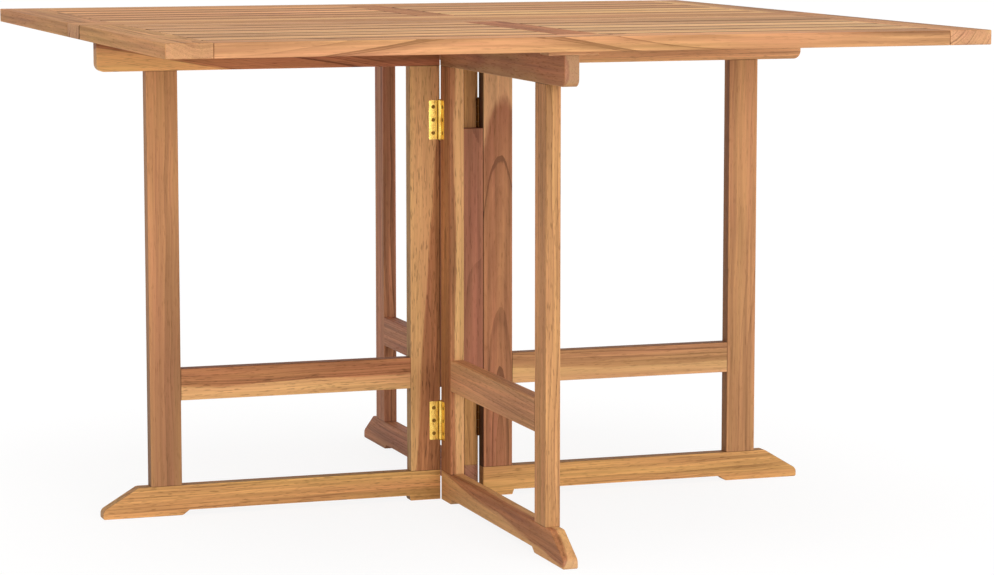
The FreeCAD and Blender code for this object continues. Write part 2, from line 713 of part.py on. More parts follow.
def flap_screws(screw, frame, pin_along, face, height, outward):
    """The screws of one flap, with their heads flush with its face."""
    spot = turned(frame.angle, f"{pin_along} + ScrewLine", face)
    turn = FreeCAD.Rotation(Z, outward)
    return [copy_of(screw, (*spot, f"{height} + {step}*ScrewPitch"), turn) for step in HINGE_SCREWS]


def make_leaf_hinges(screw):
    """A row of butt hinges under each joint between the spine and a leaf."""
    spine_flap = make_flap("SpineFlap", "LeafKnuckle", "LeafPin", LEAF_AXIS_DROP, (0, 2, 4))
    leaf_flap = make_flap("LeafFlap", "LeafKnuckle", "LeafPin", LEAF_AXIS_DROP, (1, 3))
    pin = make_pin("LeafPin", "LeafPin", "LeafKnuckle")
    fixed = {"flaps": [], "pins": [], "screws": []}
    face = f"({UNDERSIDE} - FlapThick)"
    for leaf, side in (("front", -1), ("back", 1)):
        outward = Y * side
        across = f"{side}*{LEAF_AXIS_OUT}"
        spine_turn = FreeCAD.Rotation(-outward, Z, -outward.cross(Z), "XYZ")
        leaf_turn = FreeCAD.Rotation(outward, Z, outward.cross(Z), "XYZ")
        flaps = []
        screws = []
        for place in LEAF_HINGE_PLACES:
            spot = (place, across, LEAF_AXIS_HEIGHT)
            fixed["flaps"].append(copy_of(spine_flap, spot, spine_turn))
            fixed["pins"].append(copy_of(pin, spot, FreeCAD.Rotation(Z, X)))
            flaps.append(copy_of(leaf_flap, spot, leaf_turn))
            for step in HINGE_SCREWS:
                along = f"{place} + {step}*ScrewPitch"
                for holder, offset in ((fixed["screws"], "-ScrewLine"), (screws, "+ScrewLine")):
                    seat = (along, f"{side}*({LEAF_AXIS_OUT} {offset})", face)
                    holder.append(copy_of(screw, seat, FreeCAD.Rotation(Z, -Z)))
        group(f"{leaf}_leaf_hinge_flaps", flaps)
        group(f"{leaf}_leaf_hinge_screws", screws)
    for name, pieces in fixed.items():
        group(f"spine_hinge_{name}", pieces)


def check_document():
    """Stop if a feature failed, a cut missed its piece, or a piece isn't a sound solid."""
    for thing in doc.Objects:
        if "Invalid" in thing.State or "Error" in thing.State:
            raise RuntimeError(f"{thing.Label} failed: {thing.State}")
        if "Subtractive" in thing.TypeId and not thing.Label.startswith("Clearance"):
            if thing.Shape.Volume >= thing.BaseFeature.Shape.Volume:
                raise RuntimeError(f"{thing.Label} cut nothing")
    for thing in subparts:
        if thing.Shape.isNull() or not thing.Shape.isValid() or not thing.Shape.Solids:
            raise RuntimeError(f"{thing.Label} has no sound shape")


def main():
    make_sheet()
    for frame in CORE_FRAMES:
        make_core_frame(frame)
    for frame in GATES:
        make_gate(frame)
    make_spacer()
    make_spine()
    keeper_screw = make_screw("KeeperScrew", "ScrewHead", "ScrewShank", "KeeperScrewSink",
                              "KeeperScrewLength")
    make_leaf("front_leaf", 0, keeper_screw)
    make_leaf("back_leaf", 180, keeper_screw)
    hinge_screw = make_screw("HingeScrew", "ScrewHead", "ScrewShank", "FlapThick", "ScrewLength")
    make_gate_hinges(hinge_screw)
    make_leaf_hinges(hinge_screw)
    doc.recompute()
    check_document()
    os.makedirs("parts", exist_ok=True)
    for thing in subparts:
        thing.Shape.exportStep(f"parts/{thing.Label}.step")
    print(len(subparts), "pieces written")


main()
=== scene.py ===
# Looks of the folding garden table: oiled teak boards, brass hinges, a white studio and a camera.
import json
import math
import random

import bpy
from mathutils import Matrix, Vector


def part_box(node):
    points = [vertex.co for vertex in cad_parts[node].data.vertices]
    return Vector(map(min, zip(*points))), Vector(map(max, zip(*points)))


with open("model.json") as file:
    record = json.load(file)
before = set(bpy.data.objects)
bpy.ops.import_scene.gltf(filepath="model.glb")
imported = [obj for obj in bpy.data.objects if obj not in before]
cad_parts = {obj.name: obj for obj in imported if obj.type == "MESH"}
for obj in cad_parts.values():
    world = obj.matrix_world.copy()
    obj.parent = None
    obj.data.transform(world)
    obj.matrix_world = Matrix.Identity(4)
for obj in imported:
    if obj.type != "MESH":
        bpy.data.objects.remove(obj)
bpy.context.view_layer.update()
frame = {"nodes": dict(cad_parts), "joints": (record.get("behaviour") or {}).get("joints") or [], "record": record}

X, Y, Z = range(3)
AXES = (Vector((1, 0, 0)), Vector((0, 1, 0)), Vector((0, 0, 1)))

# The middle of a noise's colour, a factor that takes out Z, and a length in metres past any board
MIDDLE = (0.5, 0.5, 0.5)
FLAT = (1, 1, 0)
FAR = 9

# Camera: metres, degrees, and millimetres of lens on a 36 mm sensor
CAMERA_PLACE = (-1.563, -4.769, 0.960)
CAMERA_YAW = 18.81
CAMERA_PITCH = 7.17
CAMERA_LENS = 118.1

# Light: at a level of 1, a white face that looks at the lamp is white
WHITE = (1, 1, 1, 1)
AMBIENT_LEVEL = 0.58
LAMPS = {
    "key": dict(source=(0.12, -1.0, 0.08), level=0.77, angle=40),
    "fill": dict(source=(-1.0, -0.25, 0.12), level=0.17, angle=50),
    "top": dict(source=(0.0, -0.20, 1.0), level=0.38, angle=50),
}

# Floor: half its side in metres, its glow and its lit grey where it is seen, and its grey as a reflector
FLOOR_HALF = 60.0
FLOOR_GLOW = 0.87
FLOOR_SHADE = 0.14
FLOOR_PAINT = 0.9

# Slats of one bay share a node: their gap and their drawn shifts are in metres
SLAT_COUNT = 5
SLAT_GAP = 0.007
SLAT_SHIFT = (FAR, 0.05, 0.05)
SLAT_TONE_LEAST = 0.80
SLAT_TONE_SPREAD = 0.44

# Tenons: metres of a board's end that its neighbours hide
FRAME_TENON = 0.024
TOP_TENON = 0.014

# Wear, dirt and painted light on the wood: rubbed edges with a painted highlight, dark joints, handling marks, and
# painted shade in gaps, on the posts' inner faces and on top and left faces. Widths are in metres, and tones scale
# the colour
WEAR_AND_HIGHLIGHT_WIDTH = 0.002
WEAR_AND_HIGHLIGHT_LIFT = 0.07
WEAR_AND_HIGHLIGHT_NOISE = dict(seed=4.0, waves=(60, 60, 60), detail=3.0)
ENDS_REACH = 0.40
# Painted shade along the sides of the slats and the spine, by the gaps between boards
GAP_SHADE_WIDTH = 0.006
GAP_SHADE_TONE = 0.12
JOINT_WIDTH = 0.0014
JOINT_TONE = 0.55
# Painted shade on the inner faces of the posts, beside the gates
SHADED_POSTS = ("left_post", "right_post")
POST_SHADE_DEPTH = (0.0005, 0.002)
POST_SHADE_TONE = 0.3
# Painted shade on the top faces and the left-facing faces of the left and right frames' boards
SHADED_SIDES = ((Z, 1), (X, -1))
SIDE_SHADE_TONE = 0.66
HANDLED_EDGES = {"back_leaf_outer_rail": Y, "back_leaf_right_stile": X, "front_leaf_right_stile": X}
HANDLED_WIDTH = 0.020
HANDLED_TONE = 0.5

# How squarely a face looks along an axis before it counts as facing it, and as end grain
FACING = (0.5, 0.9)
END_FACING = (0.7, 0.95)

# Teak's inner noises: waves a metre across and along the grain, finer layers, and which draw they take
NOISE_ROUGHNESS = 0.55
SEED_RANGE = (0, 50)
SEED_STEP = 1.7
UNEVEN_DRAW = 2
NOISES = {
    "drift": dict(waves=(5, 5, 2.2), detail=2.0, draw=0),
    "ripple": dict(waves=(60, 60, 6), detail=3.0, draw=1),
    "fade": dict(waves=(30, 30, 4), detail=2.0, draw=3),
    "broad": dict(waves=(16, 16, 1.8), detail=3.0, draw=4),
    "streak": dict(waves=(170, 170, 4), detail=4.0, draw=5),
    "border": dict(waves=(22, 22, 5), detail=4.0, draw=6),
    "fibre": dict(waves=(520, 520, 9), detail=2.0, draw=7),
    "pore": dict(waves=(640, 640, 62), detail=1.0, draw=2),
    "hue": dict(waves=(45, 45, 3), detail=3.0, draw=3),
}

# Growth rings: lengths in metres, and places as shares of a ring
BEND_EASE = 16.0
RIPPLE = 0.003
UNEVEN_SCALE = 0.6
UNEVEN_RINGS = 1.8
LINE_RISE = (0.72, 0.98)
LINE_FADE = (0.34, 0.62)
MARK_RISE = (0.0, 0.0002)
MARK_FALL = (0.0003, 0.0013)
MARK_DEPTH = 0.8
BAND_RISE = (0.1, 1.0)
BAND_LEAST = 0.1
BAND_SPREAD = 0.35

# Heartwood and sapwood: how much each pattern darkens the wood, and the ragged border in metres
EARLY_TINT = (1.24, 1.24, 1.20)
LATE_TINT = (0.45, 0.41, 0.37)
PATTERN_RISE = (0.30, 0.70)
BROAD_DEPTH = 0.45
BAND_DEPTH = 0.6
LATE_START = 0.1
NO_SAP = 1.0
SAP_RAGGED = 0.016
SAP_EDGE = 0.0035
SAP_CALM = 0.5

# Fibres, pores and end grain: how they change the colour, the gloss and the height
FIBRE_LEAST = 0.85
FIBRE_SPREAD = 0.30
PORE_RISE = (0.57, 0.68)
HUE_LEAST = 0.48
HUE_SPREAD = 0.04
END_CALM = 0.8
END_DARKER = 0.12
END_DULLER = 0.06
ROUGH_LEAST = 0.52
ROUGH_FIBRE = 0.18
ROUGH_PORE = 0.14
LINE_SINK = 0.5
PORE_SINK = 0.8
WOOD_BUMP = {"Strength": 0.35, "Distance": 0.0004}
TOP_GLOSS = 0.06
FRAME_GLOSS = 0.2

# Metal: uneven tarnish and fine rubbed marks, in waves a metre
TARNISH_NOISE = dict(seed=1.0, waves=(90, 90, 60), detail=4.0)
TARNISH_RISE = (0.45, 0.85)
RUBBED_NOISE = dict(seed=2.0, waves=(1800, 1800, 120), detail=2.0)
RUBBED_RISE = (0.3, 0.7)
METAL_BUMP = {"Strength": 0.1, "Distance": 0.0001}


def srgb(red, green, blue):
    """A colour as a screen shows it, in the linear values that a shader takes."""
    parts = []
    for value in (red, green, blue):
        share = value / 255
        parts.append(share / 12.92 if share <= 0.04045 else ((share + 0.055) / 1.055) ** 2.4)
    return (*parts, 1.0)


def grey(level):
    """A linear grey."""
    return (level, level, level, 1.0)


def tinted(colour, tint):
    """A linear colour with each of its parts scaled."""
    return (*(part * share for part, share in zip(colour, tint)), 1.0)


# Teak tones: the middle of the heartwood and the sapwood
TONES = {
    "tan": (srgb(187, 135, 92), srgb(216, 166, 112)),
    "honey": (srgb(195, 142, 94), srgb(216, 166, 112)),
    "brown": (srgb(180, 122, 79), srgb(221, 170, 112)),
    "russet": (srgb(175, 117, 82), srgb(230, 178, 126)),
    "gold": (srgb(209, 157, 97), srgb(220, 170, 108)),
    "straw": (srgb(214, 158, 112), srgb(226, 178, 126)),
    "amber": (srgb(204, 149, 106), srgb(228, 180, 128)),
    "rose": (srgb(204, 154, 110), srgb(218, 171, 122)),
    "fawn": (srgb(192, 140, 97), srgb(216, 168, 116)),
    "walnut": (srgb(174, 112, 74), srgb(228, 168, 108)),
    # Umber is a darker tone for the back gate's pieces, which stands in for the shade they sit in: painted shade
    "umber": (srgb(178, 121, 88), srgb(196, 144, 102)),
    "plum": (srgb(154, 101, 75), srgb(190, 140, 100)),
    "chestnut": (srgb(168, 114, 78), srgb(186, 140, 94)),
    "hazel": (srgb(175, 124, 84), srgb(216, 166, 112)),
    "copper": (srgb(183, 119, 79), srgb(240, 178, 114)),
}

# Metals: clean and tarnished colours, and the smoothest and roughest of their marks
METALS = {
    "brass_plates": dict(clean=srgb(252, 216, 116), tarnished=srgb(206, 148, 66), rough=(0.24, 0.38)),
    # The screws' dark brass is partly their own tarnish and partly painted shade of their recesses
    "brass_screws": dict(clean=srgb(132, 98, 46), tarnished=srgb(92, 66, 32), rough=(0.30, 0.50)),
    "steel": dict(clean=srgb(196, 196, 192), tarnished=srgb(150, 150, 148), rough=(0.25, 0.45)),
}

# Painted shade on the gate hinges, where each barrel meets its plate and over the back gate's barrel: how far from
# each joint's pin it starts and where it ends, in metres
HINGE_SHADE = srgb(88, 56, 26)
HINGE_SHADE_STARTS = {"front_gate_swing": 0.0034, "back_gate_swing": 0.0}
HINGE_SHADE_SOFTNESS = 0.0002
HINGE_SHADE_END = (0.0044, 0.0054)


class Nodes:
    """Short hands that add linked nodes to one node tree."""

    def __init__(self, tree):
        self.tree = tree

    def add(self, kind, inputs=None, **settings):
        """A new node with its settings, and its inputs linked or set."""
        node = self.tree.nodes.new(kind)
        for name, value in settings.items():
            setattr(node, name, value)
        for name, value in (inputs or {}).items():
            self.feed(node.inputs[name], value)
        return node

    def feed(self, socket, value):
        """Link a socket to another one, or set its value."""
        if isinstance(value, bpy.types.NodeSocket):
            self.tree.links.new(value, socket)
        else:
            socket.default_value = value

    def math(self, operation, first, second=0.0, third=0.0):
        inputs = {0: first, 1: second, 2: third}
        return self.add("ShaderNodeMath", inputs, operation=operation).outputs[0]

    def product(self, values):
        result = values[0]
        for value in values[1:]:
            result = self.math("MULTIPLY", result, value)
        return result

    def vector(self, operation, first, second=(0, 0, 0), third=(0, 0, 0)):
        inputs = {0: first, 1: second, 2: third}
        return self.add("ShaderNodeVectorMath", inputs, operation=operation).outputs[0]

    def scaled(self, first, scale):
        return self.add("ShaderNodeVectorMath", {0: first, "Scale": scale}, operation="SCALE").outputs[0]

    def length(self, first):
        return self.add("ShaderNodeVectorMath", {0: first}, operation="LENGTH").outputs["Value"]

    def split(self, first):
        """The X, Y and Z sockets of a vector."""
        return self.add("ShaderNodeSeparateXYZ", {0: first}).outputs

    def draw(self, value):
        """Random outputs that stay the same for the same value."""
        return self.add("ShaderNodeTexWhiteNoise", {"W": value}, noise_dimensions="1D").outputs

    def noise(self, vector, seed, waves, detail, output="Fac"):
        """Noise with its own number of waves a metre along each axis."""
        scaled = self.vector("MULTIPLY", vector, waves)
        inputs = {"Vector": scaled, "W": seed, "Scale": 1.0, "Detail": detail, "Roughness": NOISE_ROUGHNESS}
        return self.add("ShaderNodeTexNoise", inputs, noise_dimensions="4D").outputs[output]

    def ramp(self, value, low, high, start=0.0, end=1.0):
        """A smooth step from start to end as a value goes from low to high."""
        inputs = {"Value": value, "From Min": low, "From Max": high, "To Min": start, "To Max": end}
        return self.add("ShaderNodeMapRange", inputs, interpolation_type="SMOOTHSTEP").outputs[0]

    def mix(self, share, first, second):
        """A colour between two colours."""
        node = self.add("ShaderNodeMix", data_type="RGBA")
        sockets = {socket.identifier: socket for socket in node.inputs}
        for name, value in (("Factor_Float", share), ("A_Color", first), ("B_Color", second)):
            self.feed(sockets[name], value)
        return [socket for socket in node.outputs if socket.identifier == "Result_Color"][0]


def principled(name):
    """A new material with its nodes and its main shader."""
    material = bpy.data.materials.new(name)
    material.use_nodes = True
    return material, Nodes(material.node_tree), material.node_tree.nodes["Principled BSDF"]


def drawn_seed(n, given, number):
    """One of the seeds that a board's own seed gives."""
    return n.math("ADD", given["Seed"], SEED_STEP * number)


def teak_noise(n, given, name, point, output="Fac"):
    """One of teak's inner noises at a point."""
    noise = NOISES[name]
    return n.noise(point, drawn_seed(n, given, noise["draw"]), noise["waves"], noise["detail"], output)


def ring_radius(n, given):
    """How far a point lies from the pith, with a drift and a bend along the board and a fine ripple."""
    point = given["Point"]
    drift = n.vector("SUBTRACT", teak_noise(n, given, "drift", point, "Color"), MIDDLE)
    drift = n.scaled(n.vector("MULTIPLY", drift, FLAT), given["Figure"])
    along = n.math("POWER", n.split(point)[Z], 2.0)
    bend = n.math("MULTIPLY", along, given["Bend"])
    bend = n.math("DIVIDE", bend, n.math("MULTIPLY_ADD", along, BEND_EASE, 1.0))
    drift = n.vector("ADD", drift, n.add("ShaderNodeCombineXYZ", {"X": bend}).outputs[0])
    radius = n.length(n.vector("ADD", n.vector("MULTIPLY", point, FLAT), drift))
    ripple = teak_noise(n, given, "ripple", point)
    return n.math("MULTIPLY_ADD", ripple, RIPPLE, n.math("SUBTRACT", radius, RIPPLE / 2))


def growth_rings(n, given, radius):
    """The dark lines and the soft bands of unevenly wide rings."""
    phase = n.math("DIVIDE", radius, given["Ring Width"])
    uneven = {"W": n.math("ADD", phase, drawn_seed(n, given, UNEVEN_DRAW)), "Scale": UNEVEN_SCALE}
    uneven = n.add("ShaderNodeTexNoise", uneven, noise_dimensions="1D").outputs["Fac"]
    phase = n.math("MULTIPLY_ADD", uneven, UNEVEN_RINGS, phase)
    depth = n.draw(n.math("ADD", n.math("FLOOR", phase), given["Seed"]))["Value"]
    share = n.math("FRACT", phase)
    fade = n.ramp(teak_noise(n, given, "fade", given["Point"]), *LINE_FADE)
    line = n.math("MULTIPLY", n.ramp(share, *LINE_RISE), n.math("MULTIPLY", depth, fade))
    line = n.math("MULTIPLY", line, given["Lines"])
    mark = n.math("SUBTRACT", given["Mark"], radius)
    mark = n.math("MULTIPLY", n.ramp(mark, *MARK_RISE), n.ramp(mark, *MARK_FALL, MARK_DEPTH, 0.0))
    line = n.math("MAXIMUM", line, mark)
    band = n.math("MULTIPLY_ADD", depth, BAND_SPREAD, BAND_LEAST)
    return line, n.math("MULTIPLY", n.ramp(share, *BAND_RISE), band)


def heart_and_sap(n, given, radius, line, band):
    """Heartwood with slow changes, streaks and rings, and sapwood beyond a radius."""
    straight = given["Fibre Point"]
    broad = n.ramp(teak_noise(n, given, "broad", straight), *PATTERN_RISE)
    streak = n.ramp(teak_noise(n, given, "streak", straight), *PATTERN_RISE)
    calm = n.math("MULTIPLY_ADD", given["End Grain"], -END_CALM, 1.0)
    streak = n.math("MULTIPLY", streak, n.math("MULTIPLY", given["Streaks"], calm))
    late = n.math("MULTIPLY_ADD", broad, BROAD_DEPTH, n.math("SUBTRACT", streak, LATE_START))
    late = n.math("MULTIPLY_ADD", band, BAND_DEPTH, n.math("ADD", late, line))
    ragged = teak_noise(n, given, "border", given["Point"])
    border = n.math("SUBTRACT", n.math("MULTIPLY_ADD", ragged, SAP_RAGGED, radius), SAP_RAGGED / 2)
    sapwood = n.ramp(n.math("SUBTRACT", border, given["Sap Start"]), 0.0, SAP_EDGE)
    late = n.math("MULTIPLY", late, n.math("MULTIPLY_ADD", sapwood, -SAP_CALM, 1.0))
    late = n.add("ShaderNodeClamp", {"Value": late}).outputs[0]
    return n.mix(late, n.mix(sapwood, given["Early"], given["Sap"]), given["Late"])


def teak_finish(n, given, colour, line):
    """The group's outputs, with fibres and open pores along the grain and duller end grain."""
    straight = given["Fibre Point"]
    fibre = teak_noise(n, given, "fibre", straight)
    pore = n.ramp(teak_noise(n, given, "pore", straight), *PORE_RISE)
    value = n.math("MULTIPLY_ADD", fibre, FIBRE_SPREAD, FIBRE_LEAST)
    value = n.math("SUBTRACT", value, n.math("MULTIPLY", pore, given["Pores"]))
    darker = n.math("MULTIPLY_ADD", given["End Grain"], -END_DARKER, 1.0)
    changes = {
        "Hue": n.math("MULTIPLY_ADD", teak_noise(n, given, "hue", straight), HUE_SPREAD, HUE_LEAST),
        "Saturation": n.math("MULTIPLY_ADD", given["End Grain"], -END_DULLER, 1.0),
        "Value": n.product([value, given["Tone"], darker]),
        "Color": colour,
    }
    rough = n.math("MULTIPLY_ADD", fibre, ROUGH_FIBRE, ROUGH_LEAST)
    height = n.math("MULTIPLY_ADD", line, -LINE_SINK, fibre)
    return {
        "Color": n.add("ShaderNodeHueSaturation", changes).outputs[0],
        "Roughness": n.math("MULTIPLY_ADD", pore, ROUGH_PORE, rough),
        "Height": n.math("MULTIPLY_ADD", pore, -PORE_SINK, height),
    }


def make_teak_group():
    """A group that turns a point in a board, counted from the pith with the grain along Z, into teak."""
    inputs = {
        "Vector": ("Point", "Fibre Point"),
        "Color": ("Early", "Late", "Sap"),
        "Float": ("Seed", "Sap Start", "Ring Width", "Lines", "Figure", "Mark", "Bend", "End Grain",
                  "Streaks", "Pores", "Tone"),
    }
    outputs = {"Color": ("Color",), "Float": ("Roughness", "Height")}
    tree = bpy.data.node_groups.new("teak", "ShaderNodeTree")
    for direction, sockets in (("INPUT", inputs), ("OUTPUT", outputs)):
        for kind, names in sockets.items():
            for name in names:
                tree.interface.new_socket(name=name, in_out=direction, socket_type=f"NodeSocket{kind}")
    n = Nodes(tree)
    given = n.add("NodeGroupInput").outputs
    radius = ring_radius(n, given)
    line, band = growth_rings(n, given, radius)
    colour = heart_and_sap(n, given, radius, line, band)
    n.add("NodeGroupOutput", teak_finish(n, given, colour, line))
    return tree


def on_top(node):
    """Whether a node is a board of the table's top."""
    return "leaf" in node or node.startswith("spine")


def tenon_of(node):
    """How far a board's tenons reach into its neighbours."""
    if node.endswith(("_leg", "_post", "_stretcher")):
        return FRAME_TENON
    return TOP_TENON if "leaf" in node and node.endswith(("_rail", "_slats", "middle_stile")) else 0.0


def grain_of(node):
    """The axis that a board's grain runs along."""
    if node.endswith(("_leg", "_post")) or node == "spacer_board":
        return Z
    if node.endswith("_stile") or ("_gate_" in node and node.endswith(("_rail", "_stretcher", "_foot"))):
        return Y
    return X


def across_grain(grain):
    """The other two axes."""
    return [axis for axis in (X, Y, Z) if axis != grain]


def edge_distances(n, place, low, high):
    """How far a point lies inside each pair of a board's faces."""
    centre = (low + high) / 2
    half = (high - low) / 2
    return n.split(n.vector("SUBTRACT", half, n.vector("ABSOLUTE", n.vector("SUBTRACT", place, centre))))


def rubbed_and_highlit_tone(n, place, inside):
    """Lighter along the long edges, over an uneven width: rubbed wear and a painted highlight."""
    reach = n.math("MULTIPLY", n.noise(place, **WEAR_AND_HIGHLIGHT_NOISE), 2 * WEAR_AND_HIGHLIGHT_WIDTH)
    rubbed = n.math("SUBTRACT", n.math("MAXIMUM", *inside), reach)
    return n.ramp(rubbed, -WEAR_AND_HIGHLIGHT_WIDTH, WEAR_AND_HIGHLIGHT_WIDTH, 1 + WEAR_AND_HIGHLIGHT_LIFT, 1.0)


def handled_tone(n, across, edge, up):
    """Darker on the top towards an outer edge."""
    dark = n.ramp(across, edge - HANDLED_WIDTH, edge, 0.0, 1 - HANDLED_TONE)
    return n.math("SUBTRACT", 1.0, n.math("MULTIPLY", dark, n.ramp(up, *FACING)))


def wear_and_painted_light_tone(n, node, place, low, high, grain, fade, ends):
    """All that lightens or darkens a board: rubbed edges with a painted highlight, a gradient along the grain,
    joints, handling, and painted shade in gaps, on the posts' inner faces and on top and left faces.
    """
    parts = n.split(place)
    facing = n.split(n.add("ShaderNodeTexCoord").outputs["Normal"])
    inside = edge_distances(n, place, low, high)
    tones = [
        # Rubbed wear with a painted highlight along the long edges
        rubbed_and_highlit_tone(n, place, [inside[axis] for axis in across_grain(grain)]),
        n.ramp(parts[grain], low[grain], high[grain], 1 - fade, 1 + fade),
        n.ramp(inside[grain], 0.0, ENDS_REACH, 1 - ends, 1 + ends / 2),
    ]
    if tenon_of(node):
        joint = n.math("ABSOLUTE", n.math("SUBTRACT", inside[grain], tenon_of(node)))
        tones.append(n.ramp(joint, 0.0, JOINT_WIDTH, JOINT_TONE, 1.0))
    if node in HANDLED_EDGES:
        outward = HANDLED_EDGES[node]
        tones.append(handled_tone(n, parts[outward], high[outward], facing[Z]))
    # Painted shade along the spine's edges, by the gaps beside the leaves
    if node == "spine_board":
        tones.append(n.ramp(inside[Y], 0.0, GAP_SHADE_WIDTH / 2, GAP_SHADE_TONE, 1.0))
    # Painted shade on the posts' inner faces, beside the gates
    if node in SHADED_POSTS:
        inner_face = min(abs(low.x), abs(high.x))
        depth = n.math("SUBTRACT", n.math("ABSOLUTE", parts[X]), inner_face)
        tones.append(n.ramp(depth, *POST_SHADE_DEPTH, POST_SHADE_TONE, 1.0))
    # Painted shade on top faces and on faces that look left
    if node.startswith(("left_", "right_")):
        for axis, side in SHADED_SIDES:
            tones.append(n.ramp(n.math("MULTIPLY", facing[axis], side), *FACING, 1.0, SIDE_SHADE_TONE))
    return n.product(tones)


def vary_slats(n, place, low, high, seed):
    """Fold the slats of a bay onto the first one, draw each one's shift along the log and its tone, and paint
    shade along its sides by the gaps.
    """
    pitch = (high.y - low.y + SLAT_GAP) / SLAT_COUNT
    start = low.y - SLAT_GAP / 2
    folded = n.vector("WRAP", place, (FAR, start + pitch, FAR), (-FAR, start, -FAR))
    number = n.math("FLOOR", n.math("DIVIDE", n.math("SUBTRACT", n.split(place)[Y], start), pitch))
    draw = n.draw(n.math("ADD", number, seed))
    shift = n.vector("MULTIPLY", n.vector("SUBTRACT", draw["Color"], MIDDLE), SLAT_SHIFT)
    slat_high = Vector((high.x, low.y + pitch - SLAT_GAP, high.z))
    inside = edge_distances(n, folded, low, slat_high)[Y]
    # Painted shade along each slat's sides, by the gaps
    gap_shade = n.ramp(inside, 0.0, GAP_SHADE_WIDTH, GAP_SHADE_TONE, 1.0)
    shade = n.math("MULTIPLY_ADD", draw["Value"], SLAT_TONE_SPREAD, SLAT_TONE_LEAST)
    return folded, shift, n.math("MULTIPLY", shade, gap_shade), slat_high


def grain_points(n, moved, middle, grain, lean):
    """A point counted from the pith, and one turned straight, both with the grain along Z."""
    turn = (AXES[grain] + Vector(lean)).rotation_difference(AXES[Z]).to_matrix()
    leaning = {"Vector": moved, "Location": -(turn @ middle), "Rotation": turn.to_euler("XYZ")}
    upright = AXES[grain].rotation_difference(AXES[Z]).to_euler("XYZ")
    mappings = (leaning, {"Vector": moved, "Rotation": upright})
    return [n.add("ShaderNodeMapping", inputs, vector_type="POINT").outputs[0] for inputs in mappings]


def teak(node, group, grain, tone, pith, lean=(0, 0, 0), sap=NO_SAP, ring=0.0045, lines=0.5, figure=0.03,
         streaks=0.5, pores=0.22, mark=0.0, bend=0.0, fade=0.0, ends=0.0, seed=None):
    """Teak for one node: pith is where its line passes the board's middle, along the grain plus a lean."""
    seed = random.Random(node).uniform(*SEED_RANGE) if seed is None else seed
    low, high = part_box(node)
    material, n, shader = principled(f"teak_{node}")
    coordinates = n.add("ShaderNodeTexCoord").outputs
    place = moved = coordinates["Object"]
    shade = 1.0
    if node.endswith("_slats"):
        place, shift, shade, high = vary_slats(n, place, low, high, seed)
        moved = n.vector("ADD", place, shift)
    point, straight = grain_points(n, moved, (low + high) / 2 + Vector(pith), grain, lean)
    facing = n.split(n.vector("ABSOLUTE", coordinates["Normal"]))[grain]
    wear_and_painted_light = wear_and_painted_light_tone(n, node, place, low, high, grain, fade, ends)
    heart, sapwood = TONES[tone]
    wood = n.add("ShaderNodeGroup", node_tree=group)
    inputs = {
        "Point": point, "Fibre Point": straight, "Seed": seed,
        "Early": tinted(heart, EARLY_TINT), "Late": tinted(heart, LATE_TINT), "Sap": sapwood,
        "Sap Start": sap, "Ring Width": ring, "Lines": lines, "Figure": figure, "Mark": mark, "Bend": bend,
        "End Grain": n.ramp(facing, *END_FACING), "Streaks": streaks, "Pores": pores,
        "Tone": n.math("MULTIPLY", wear_and_painted_light, shade),
    }
    for name, value in inputs.items():
        n.feed(wood.inputs[name], value)
    bump = {"Height": wood.outputs["Height"], **WOOD_BUMP}
    n.feed(shader.inputs["Base Color"], wood.outputs["Color"])
    n.feed(shader.inputs["Roughness"], wood.outputs["Roughness"])
    n.feed(shader.inputs["Normal"], n.add("ShaderNodeBump", bump).outputs[0])
    shader.inputs["Specular IOR Level"].default_value = TOP_GLOSS if on_top(node) else FRAME_GLOSS
    return material


